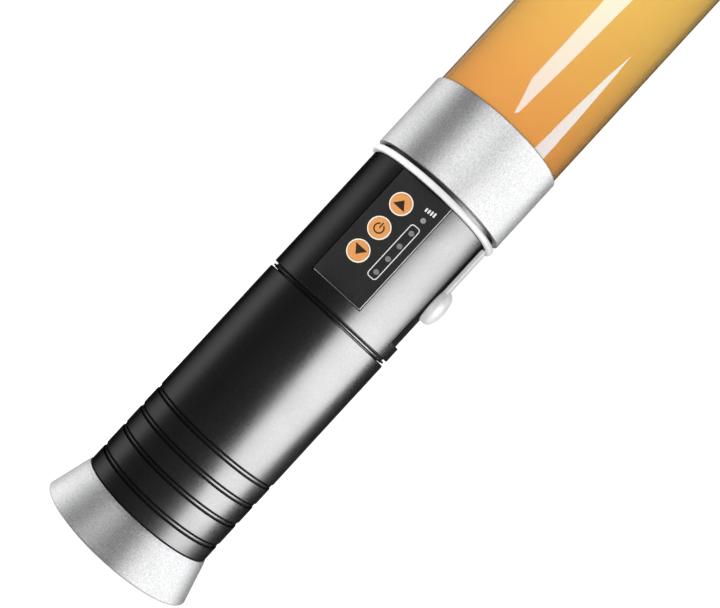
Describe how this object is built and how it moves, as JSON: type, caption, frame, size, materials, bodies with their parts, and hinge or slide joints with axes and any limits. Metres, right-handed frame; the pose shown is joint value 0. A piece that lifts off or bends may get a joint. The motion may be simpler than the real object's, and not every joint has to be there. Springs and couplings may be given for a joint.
{
  "type": "led light tube",
  "caption": "Hand-held LED light tube with battery grip, push-button panel, silver collar, flared tail cap and a slide-off amber filter sleeve.",
  "frame": {"origin": "centre of the foot, on the surface the light stands on", "axes": "+Z along the tube towards its lamp end, -Y out of the control panel, +X out of the charging port"},
  "size_m": [0.058, 0.058, 0.52],
  "materials": {
    "silver_aluminium": "bead-blasted, clear anodised",
    "black_rubber": "matt",
    "brass": "turned",
    "black_shell": "fine-grained satin black",
    "cell_wrap": "shrink wrap",
    "white_plastic": "moulded",
    "nickel_strip": "rolled strip",
    "circuit_board": "solder mask",
    "red_wire": "insulation",
    "black_wire": "insulation",
    "white_wire": "insulation",
    "panel_film": "textured film",
    "light_guide": "milky, clear moulding",
    "orange_button": "satin",
    "switch_black": "moulded",
    "steel": "plated",
    "silicone": "milky translucent silicone",
    "bare_aluminium": "extruded",
    "led_board": "white solder mask",
    "diffuser": "opal",
    "amber_filter": "clear tinted acrylic, polished"
  },
  "bodies": {
    "handle": {"tail_cap": "silver_aluminium", "tail_plug": "black_shell", "foot_pad": "black_rubber", "tripod_insert": "brass", "tail_o_ring": "black_rubber", "grip_tube": "black_shell", "battery_cell_1": "cell_wrap", "battery_cell_2": "cell_wrap", "battery_cell_3": "cell_wrap", "battery_holder_lower": "white_plastic", "battery_holder_upper": "white_plastic", "bus_plate_lower": "nickel_strip", "bus_plate_upper": "nickel_strip", "protection_board": "circuit_board", "battery_lead_red": "red_wire", "battery_lead_black": "black_wire", "control_housing": "black_shell", "control_panel": "panel_film", "light_guide": "light_guide", "switch_up": "switch_black", "switch_power": "switch_black", "switch_down": "switch_black", "control_board": "circuit_board", "board_screw_1": "steel", "board_screw_2": "steel", "charging_socket": "switch_black", "charging_pin": "nickel_strip", "charge_board": "circuit_board", "cover_ring": "silicone", "collar": "silver_aluminium", "collar_gasket": "black_rubber", "lamp_base": "white_plastic", "lamp_lead_front": "white_wire", "lamp_lead_back": "white_wire", "heatsink_bar": "bare_aluminium", "led_strip_front": "led_board", "led_strip_back": "led_board", "diffuser_tube": "diffuser", "lamp_end_plug": "black_shell", "end_screw": "steel"},
    "up_key": {"button_up": "orange_button"},
    "power_key": {"button_power": "orange_button"},
    "down_key": {"button_down": "orange_button"},
    "cover": {"port_cover": "silicone"},
    "filter": {"filter_sleeve": "amber_filter", "filter_cap": "silver_aluminium"}
  },
  "joints": [
    {"name": "up_press", "type": "slide", "parent": "handle", "child": "up_key", "axis": [0, 1, 0], "range_m": [0, 0.0005], "stiffness_N_per_m": 500, "springref_m": -0.0015},
    {"name": "power_press", "type": "slide", "parent": "handle", "child": "power_key", "axis": [0, 1, 0], "range_m": [0, 0.0005], "stiffness_N_per_m": 500, "springref_m": -0.0015},
    {"name": "down_press", "type": "slide", "parent": "handle", "child": "down_key", "axis": [0, 1, 0], "range_m": [0, 0.0005], "stiffness_N_per_m": 500, "springref_m": -0.0015},
    {"name": "port_cover_hinge", "type": "hinge", "parent": "handle", "child": "cover", "pos_m": [0.02397, 0, 0.1496], "axis": [0, -1, 0], "range_deg": [0, 90]},
    {"name": "filter_slide", "type": "slide", "parent": "handle", "child": "filter", "axis": [0, 0, 1], "range_m": [0, 0.35]}
  ]
}
